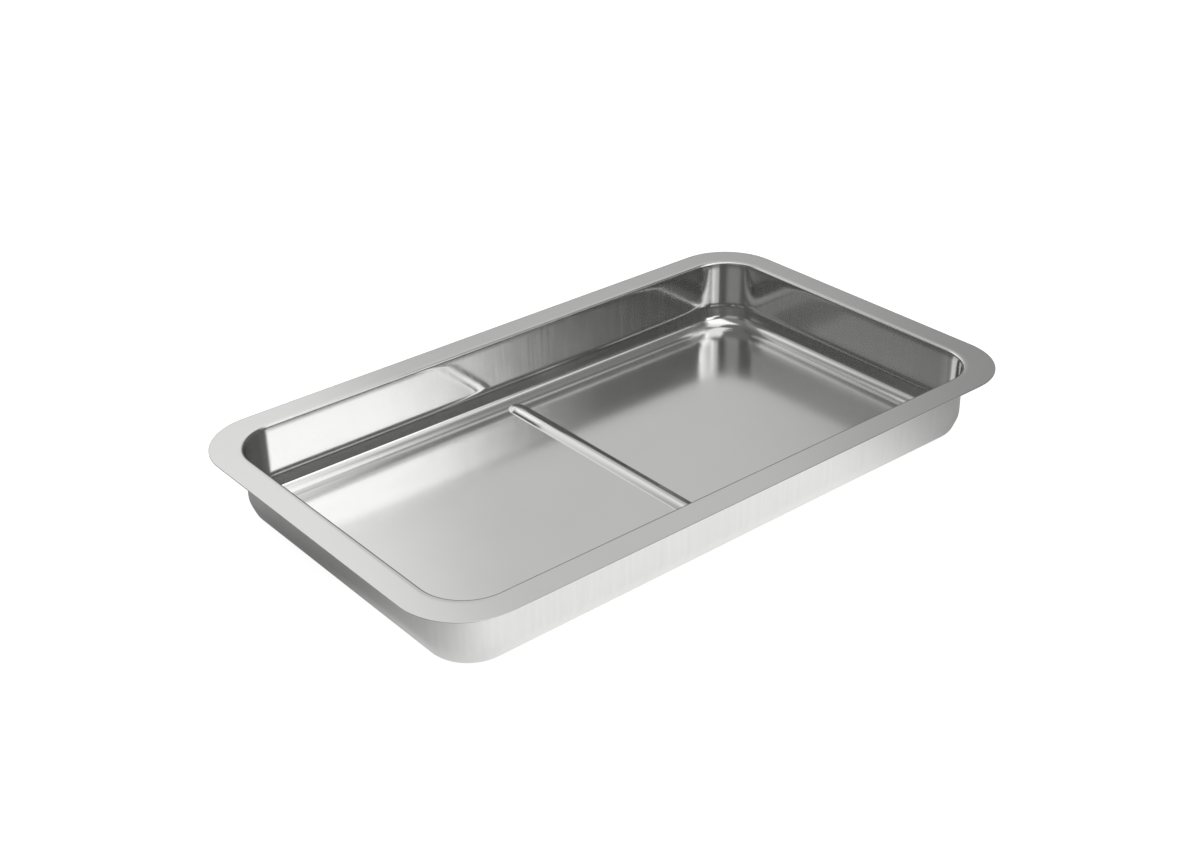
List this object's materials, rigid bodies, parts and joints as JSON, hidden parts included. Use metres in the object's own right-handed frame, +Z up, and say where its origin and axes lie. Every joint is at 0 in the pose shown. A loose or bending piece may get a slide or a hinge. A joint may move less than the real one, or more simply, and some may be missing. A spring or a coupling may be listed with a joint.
{
  "type": "paint roller tray",
  "caption": "Shallow rectangular sheet-steel paint tray with a flat rim flange, upright walls, rounded corners and one raised rib across the middle of its floor.",
  "frame": {"origin": "under the middle of the floor, on the surface the tray stands on", "axes": "+X along the tray, +Y across it, parallel to the rib, +Z up"},
  "size_m": [0.33, 0.198, 0.035],
  "materials": {
    "stainless_steel": "bright rolled sheet, mirror-like walls and a satin floor"
  },
  "bodies": {
    "root": {"pressed_tray": "stainless_steel"}
  },
  "joints": []
}
